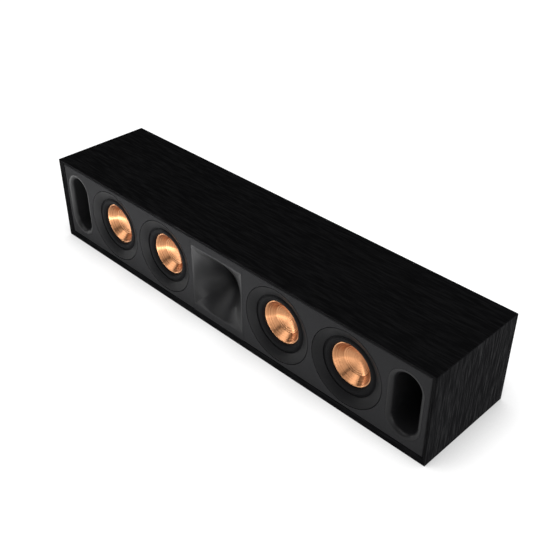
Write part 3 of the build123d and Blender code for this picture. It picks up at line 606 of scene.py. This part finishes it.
def paper_floor():
    """Grey paper that glows to a white floor: more in a strip ahead of the cabinet that fades along
    X, and less where the cabinet stands close: a painted shadow, the glow dimmed by ambient occlusion."""
    paper, tree, shader = finish(
        "paper_floor_matt", Base_Color=linear("#A0A0A0"), Roughness=0.9, Specular_IOR_Level=0.0,
        Emission_Color=linear("#FFFFFF"),
    )
    spot = add(tree, "ShaderNodeTexCoord", {}).outputs["Object"]
    spot = add(tree, "ShaderNodeSeparateXYZ", {"Vector": spot})
    off = {0: spot.outputs["Y"], 1: FRONT - STRIP_AHEAD}
    off = add(tree, "ShaderNodeMath", off, operation="SUBTRACT").outputs["Value"]
    off = add(tree, "ShaderNodeMath", {0: off}, operation="ABSOLUTE").outputs["Value"]
    across = {"Value": off, "From Max": STRIP_WIDTH, "To Min": STRIP_GLOW, "To Max": 0.0}
    across = add(tree, "ShaderNodeMapRange", across, interpolation_type="SMOOTHSTEP").outputs["Result"]
    start, end = STRIP_ENDS
    along = {"Value": spot.outputs["X"], "From Min": start, "From Max": end,
             "To Min": 1.0, "To Max": STRIP_REST}
    along = add(tree, "ShaderNodeMapRange", along, interpolation_type="SMOOTHSTEP").outputs["Result"]
    glow = {0: across, 1: along, 2: FLOOR_GLOW}
    glow = add(tree, "ShaderNodeMath", glow, operation="MULTIPLY_ADD").outputs["Value"]
    # Painted shadow: ambient occlusion dims the floor's glow close to the cabinet.
    reach = {"Distance": SHADOW_REACH}
    free = add(tree, "ShaderNodeAmbientOcclusion", reach, samples=SHADOW_SAMPLES).outputs["AO"]
    glow = add(tree, "ShaderNodeMath", {0: glow, 1: free}, operation="MULTIPLY").outputs["Value"]
    feed(tree, shader, {"Emission Strength": glow})
    side = FLOOR_SIDE / 2
    corners = [(-side, -side, 0), (side, -side, 0), (side, side, 0), (-side, side, 0)]
    mesh = bpy.data.meshes.new("floor")
    mesh.from_pydata(corners, [], [(0, 1, 2, 3)])
    mesh.materials.append(paper)
    floor = bpy.data.objects.new("floor", mesh)
    bpy.context.scene.collection.objects.link(floor)


def studio():
    """Soft boxes round the front and above, and dim air."""
    for name, watts, size, azimuth, elevation, distance in SOFT_BOXES:
        light = bpy.data.lights.new(name, "AREA")
        light.energy, light.size = watts, size
        lamp = bpy.data.objects.new(name, light)
        out = bearing(azimuth, elevation)
        lamp.location = out * distance
        lamp.rotation_euler = out.to_track_quat("Z", "Y").to_euler()
        bpy.context.scene.collection.objects.link(lamp)

    world = bpy.data.worlds.new("studio_air")
    world.use_nodes = True
    tree = world.node_tree
    feed(tree, tree.nodes["Background"], {"Color": linear("#FFFFFF"), "Strength": AIR})
    bpy.context.scene.world = world
    bpy.context.scene.view_settings.view_transform = "Standard"


def camera():
    """The photograph's view: place, direction, roll and lens for a square picture."""
    lens = bpy.data.cameras.new("camera")
    lens.sensor_width, lens.lens = SENSOR, LENS
    viewer = bpy.data.objects.new("camera", lens)
    turn = bearing(VIEW_AZIMUTH, VIEW_ELEVATION).to_track_quat("Z", "Y").to_matrix()
    turn = turn @ Matrix.Rotation(radians(VIEW_ROLL), 3, "Z")
    viewer.matrix_world = Matrix.Translation(VIEW_POINT) @ turn.to_4x4()
    bpy.context.scene.collection.objects.link(viewer)
    bpy.context.scene.camera = viewer


# Grits and mould textures that are really under 0.1 mm are drawn at 0.4 to 0.8 mm, to show close up.
# Black ash vinyl, embossed and wrapped: near-black with short open-pore streaks along the board.
# Real pores are about 0.3 mm wide; they are drawn six times as wide so that they show.
vinyl = dict(dark="#0C0C0D", pale="#161617", gloss=(0.95, 0.4), relief=0.12, strength=0.6,
             contrast=(0.42, 0.66), Specular_IOR_Level=0.01)
long_vinyl = grained("black_ash_vinyl_lengthwise", spots=(25.0, 1.8, 1.8), **vinyl)
upright_vinyl = grained("black_ash_vinyl_upright", spots=(1.8, 1.8, 25.0), **vinyl)
# Plain black vinyl, rolled with a leather grain: an even dull black on the back.
back_vinyl = grained("black_vinyl_rolled", "#0A0A0B", "#121213", (0.5, 0.62), 1.2, 0.1, 0.4)
# Medium density fibreboard, sawn: light brown with short felted fibres.
fibreboard = grained("fibreboard_sawn", "#8C6B45", "#B8946A", (0.8, 0.95), (2.5, 0.8, 0.8), 0.1, 0.4)
# Polymer film, pressed on the baffle: an even matt charcoal with a very fine grit.
baffle_film = grained("charcoal_film_pressed", "#282829", "#2E2E2F", (0.7, 0.8), 0.6, 0.02, 0.2,
                      Specular_IOR_Level=0.02)
# ABS, moulded in fine-textured tools: satin dark grey that shows its form by soft highlights.
abs_trim = grained("abs_trim_moulded", "#101011", "#161617", (0.32, 0.4), 0.5, 0.02, 0.2,
                   Specular_IOR_Level=0.07)
satin = dict(dark="#141415", pale="#1A1A1B", gloss=(0.34, 0.42), spots=0.6, relief=0.02, strength=0.15,
             Specular_IOR_Level=0.15)
abs_horn = grained("abs_horn_moulded", **satin)
abs_port = grained("abs_port_moulded", **satin)
# ABS, moulded in spark-eroded tools: matt charcoal on the horn's plate, dull black on the cup.
abs_plate = grained("abs_plate_spark_textured", "#282829", "#2E2E2F", (0.7, 0.8), 0.6, 0.02, 0.2,
                    Specular_IOR_Level=0.02)
abs_cup = grained("abs_cup_spark_textured", "#151516", "#1E1E1F", (0.5, 0.66), 0.8, 0.05, 0.5)
# Butyl rubber, moulded: soft black with a low sheen.
butyl = grained("butyl_rubber_moulded", "#101011", "#161617", (0.5, 0.6), 0.5, 0.02, 0.2,
                Specular_IOR_Level=0.03)
# Aluminium, spun and anodised a copper colour: rays of light over rings about a millimetre apart.
copper = spun_copper("aluminium_spun_copper_anodised", "#B07852", "#D0996F", 1.2, (0.26, 0.36))
# Steel, stamped and painted black: slight orange peel.
painted_steel = grained("steel_stamped_black_paint", "#121213", "#1B1B1C", (0.36, 0.5), 1.5, 0.04, 0.3)
# Steel, zinc plated and passivated: pale grey with cloudy patches.
zinc_steel = grained("steel_zinc_plated", "#A6A8A6", "#C9CBCC", (0.3, 0.48), 4.0, 0.01, 0.1,
                     Metallic=1.0)
# Ferrite, sintered and ground: dark grey stone with a faint sparkle.
ferrite = grained("ferrite_sintered_ground", "#26272A", "#3A3B3E", (0.45, 0.7), 0.7, 0.05, 0.4)
# Copper wire, enamelled: bright turns, darker in the grooves between them as painted shade. The coils'
# turns of about 0.3 mm are drawn at 0.6 mm so that they show, the inductors' are drawn as thick as they
# are.
coil_wire = wound("copper_wire_enamelled_fine", "#6E2F16", "#C8733F", 0.6, 0.35, Metallic=1.0)
inductor_wire = wound("copper_wire_enamelled_thick", "#6A2C12", "#C66C36", 1.2, 0.3, Metallic=1.0)
# Cotton cloth, dipped in resin and pressed: amber threads with open holes.
spider_cloth = woven("cotton_cloth_resin_pressed", "#3A2A10", "#B08A42", 1.2, 0.75)
# Aluminium foil, pressed: a smooth dome, its near-black colour a painted shade for the dark throat of
# the horn.
dome_painted_shade_foil = grained("aluminium_foil_painted_shade", "#070708", "#0C0C0D", (0.6, 0.7), 0.4, 0.01, 0.1,
                    Specular_IOR_Level=0.03)
# Polyimide film, hot formed: a smooth amber skin.
amber_film = grained("polyimide_film_formed", "#7A4310", "#9C5C1C", (0.2, 0.32), 2.0, 0.02, 0.15)
# Brass, turned and gold flashed: fine tool rings along the axis.
gold_brass = grained("brass_turned_gold_flashed", "#C79A3E", "#E6C06A", (0.2, 0.34), (20.0, 0.35, 20.0),
                     0.02, 0.3, Metallic=1.0)
# Polycarbonate, moulded: glossy red and black grips with slight flow marks.
red_grip = grained("polycarbonate_red_moulded", "#8E1014", "#A8161A", (0.24, 0.34), 3.0, 0.02, 0.1)
black_grip = grained("polycarbonate_black_moulded", "#0E0E0F", "#161617", (0.24, 0.34), 3.0, 0.02, 0.1)
# Glass-epoxy board under green solder mask: the weave shows through as a faint mottle.
green_board = grained("glass_epoxy_solder_mask", "#0F4A24", "#17602F", (0.25, 0.4), 1.6, 0.02, 0.2)
# Aluminium cans in shrunk PVC sleeves: dark blue with a soft gloss.
can_sleeve = grained("pvc_sleeve_shrunk", "#14163A", "#1D2050", (0.28, 0.4), 5.0, 0.03, 0.2)
# PVC, extruded round stranded wire: dull red with faint waves from the strands.
lead_sheath = grained("pvc_sheath_extruded", "#7A1612", "#901E19", (0.4, 0.52), 4.0, 0.05, 0.3)
# Steel screws, black zinc plated: a dull dark metal.
black_zinc = grained("steel_black_zinc", "#2C2C2E", "#3C3C3F", (0.34, 0.5), 0.8, 0.01, 0.15,
                     Metallic=1.0)

dress(long_vinyl, "top_panel", "bottom_panel")
dress(upright_vinyl, "left_panel", "right_panel")
dress(back_vinyl, "back_panel")
dress(fibreboard, "cabinet_braces")
dress(baffle_film, "front_baffle")
dress(zinc_steel, "woofer_top_plates", "woofer_yokes", "tweeter_top_plate", "tweeter_yoke")
dress(ferrite, "woofer_magnets", "tweeter_magnet")
dress(dome_painted_shade_foil, "tweeter_dome")
dress(amber_film, "tweeter_suspension")
dress(coil_wire, "tweeter_voice_coil")
dress(abs_cup, "terminal_cup")
dress(gold_brass, "red_post", "black_post", "red_insert", "black_insert", "post_nuts")
dress(red_grip, "red_knob")
dress(black_grip, "black_knob")
dress(green_board, "crossover_board")
dress(inductor_wire, "crossover_inductors")
dress(can_sleeve, "crossover_capacitors")
dress(lead_sheath, "internal_leads")
dress(black_zinc, "screws")
for n in WOOFERS:
    dress(painted_steel, f"woofer_{n}_basket")
    dress(coil_wire, f"woofer_{n}_voice_coil")
    trim_ring(n, abs_trim)
    surround(n, butyl)
    cone(n, copper)
    dust_cap(n, copper)
    spider(n, spider_cloth)
horn(abs_horn, abs_plate)
for node in ("left_port", "right_port"):
    port(node, abs_port)
paper_floor()
studio()
camera()
